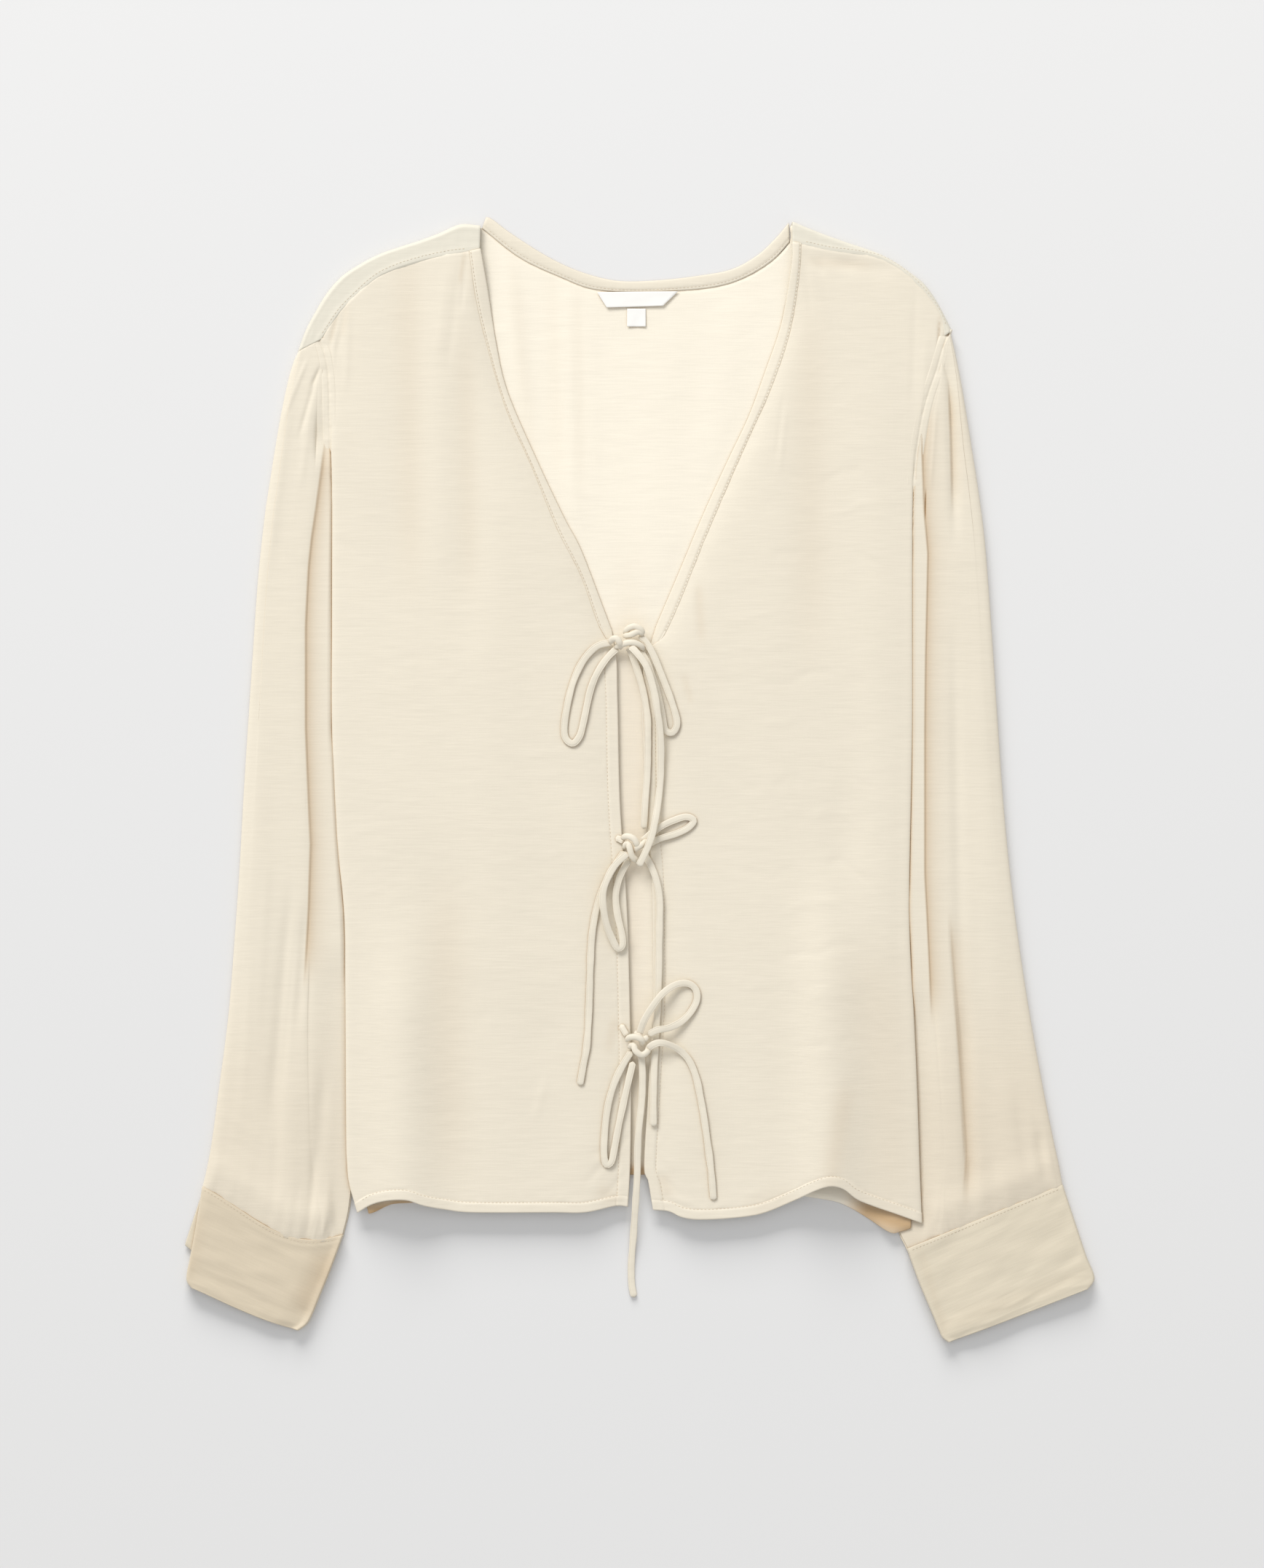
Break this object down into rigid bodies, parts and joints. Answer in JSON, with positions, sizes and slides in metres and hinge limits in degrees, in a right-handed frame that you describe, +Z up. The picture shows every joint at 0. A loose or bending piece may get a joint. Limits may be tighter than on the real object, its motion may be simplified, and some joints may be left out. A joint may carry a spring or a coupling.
{
  "type": "blouse",
  "caption": "Loose V-neck blouse with long cuffed sleeves, laid out flat on its back, its open front held by narrow ties in bows.",
  "frame": {"origin": "centre of the garment's underside, on the surface it lies on", "axes": "+Y towards the neck, +X to the right as seen from above the front, +Z up from the surface"},
  "size_m": [0.5752, 0.7119, 0.0151],
  "materials": {
    "cloth": "soft satin crepe, cream",
    "tie_cloth": "soft satin crepe, cream",
    "label_ribbon": "matt white ribbon"
  },
  "bodies": {
    "root": {"back": "cloth", "front_left": "cloth", "front_right": "cloth", "neck_binding_back": "cloth", "neck_binding_left": "cloth", "neck_binding_right": "cloth", "sleeve_left": "cloth", "sleeve_right": "cloth", "cuff_left": "cloth", "cuff_right": "cloth", "tie_top_loop_left": "tie_cloth", "tie_top_loop_right": "tie_cloth", "tie_top_tail_front": "tie_cloth", "tie_top_tail_back": "tie_cloth", "tie_middle_loop_right": "tie_cloth", "tie_middle_loop_left": "tie_cloth", "tie_middle_tail_left": "tie_cloth", "tie_middle_tail_right": "tie_cloth", "tie_bottom_loop_right": "tie_cloth", "tie_bottom_tail_right": "tie_cloth", "tie_bottom_loop_left": "tie_cloth", "tie_bottom_tail_centre": "tie_cloth", "tie_knot_top": "tie_cloth", "tie_knot_middle": "tie_cloth", "tie_knot_bottom": "tie_cloth", "tie_root_middle_left": "tie_cloth", "tie_root_bottom_left": "tie_cloth", "neck_label": "label_ribbon", "size_tag": "label_ribbon"}
  },
  "joints": []
}
